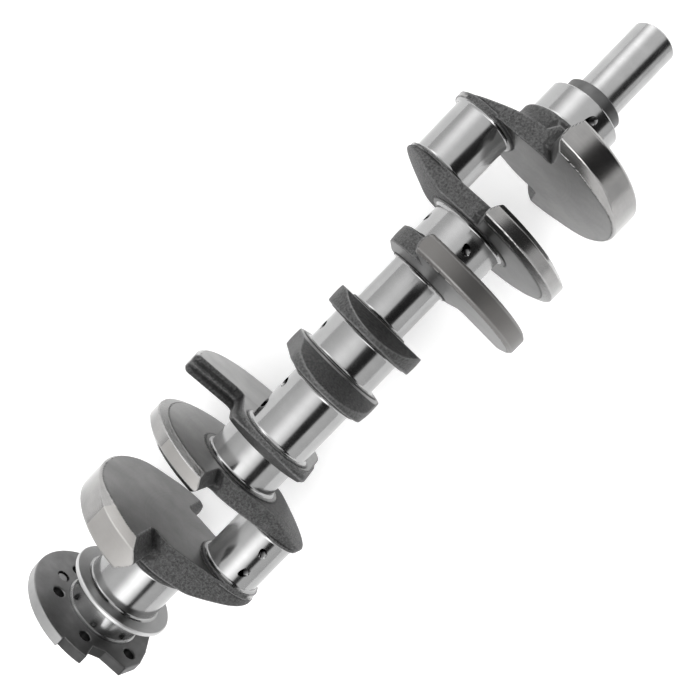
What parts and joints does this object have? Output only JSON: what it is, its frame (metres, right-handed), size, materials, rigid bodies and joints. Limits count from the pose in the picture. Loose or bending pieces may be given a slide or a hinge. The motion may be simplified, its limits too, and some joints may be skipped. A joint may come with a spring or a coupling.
{
  "type": "crankshaft",
  "caption": "Forged steel crankshaft for a large V8 engine, with counterweighted webs, ground journals, a bolted flywheel flange and a plain snout.",
  "frame": {"origin": "centre of the flywheel flange's rear face, on the main axis", "axes": "+X along the main axis towards the snout, +Z towards crankpin 3 and +Y towards crankpin 1"},
  "size_m": [0.691, 0.191, 0.191],
  "materials": {
    "ground_steel": "ground and polished, bright",
    "turned_steel": "turned, satin",
    "forged_steel": "dark forged skin with machined faces",
    "dark_steel": "dark, dull"
  },
  "bodies": {
    "root": {"flywheel_flange": "turned_steel", "flywheel_dowel": "ground_steel", "seal_journal": "turned_steel", "oil_slinger": "turned_steel", "main_journal_5": "ground_steel", "web_8": "forged_steel", "crankpin_4": "ground_steel", "web_7": "forged_steel", "main_journal_4": "ground_steel", "web_6": "forged_steel", "crankpin_3": "ground_steel", "web_5": "forged_steel", "main_journal_3": "ground_steel", "web_4": "forged_steel", "crankpin_2": "ground_steel", "web_3": "forged_steel", "main_journal_2": "ground_steel", "web_2": "forged_steel", "crankpin_1": "ground_steel", "web_1": "forged_steel", "main_journal_1": "ground_steel", "timing_gear_seat": "dark_steel", "snout": "ground_steel"}
  },
  "joints": []
}
